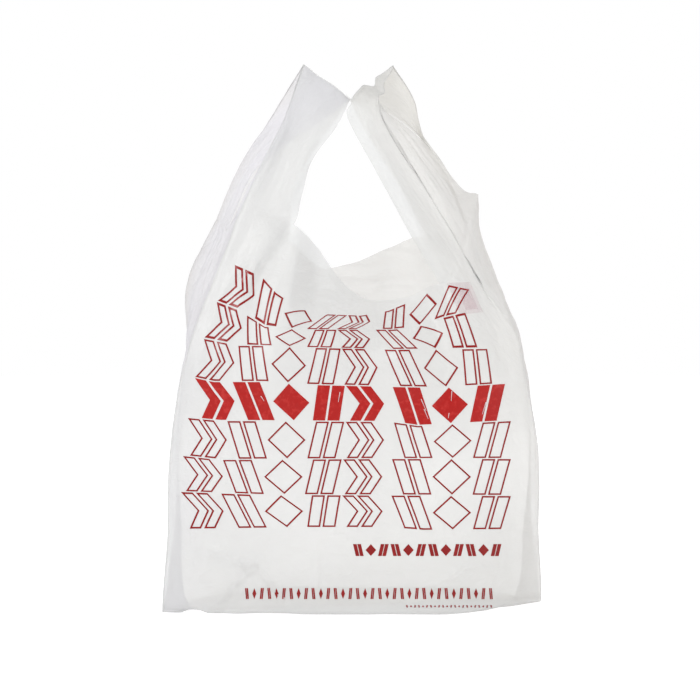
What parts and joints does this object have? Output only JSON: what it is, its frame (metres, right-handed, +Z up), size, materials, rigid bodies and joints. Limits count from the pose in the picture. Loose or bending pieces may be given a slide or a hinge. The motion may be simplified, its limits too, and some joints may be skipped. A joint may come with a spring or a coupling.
{
  "type": "plastic carrier bag",
  "caption": "Thin film carrier bag with side gussets, a flat gathered base and two loop handles, standing open.",
  "frame": {"origin": "under the middle of the base, on the surface that the bag stands on", "axes": "+Z up from the base to the handles, the printed front faces -Y, +X to the right when looking at the front"},
  "size_m": [0.3012, 0.1704, 0.4324],
  "materials": {
    "film": "thin white high-density polyethylene film, translucent, soft sheen, with a red printed front"
  },
  "bodies": {
    "root": {"carrier_bag": "film"}
  },
  "joints": []
}
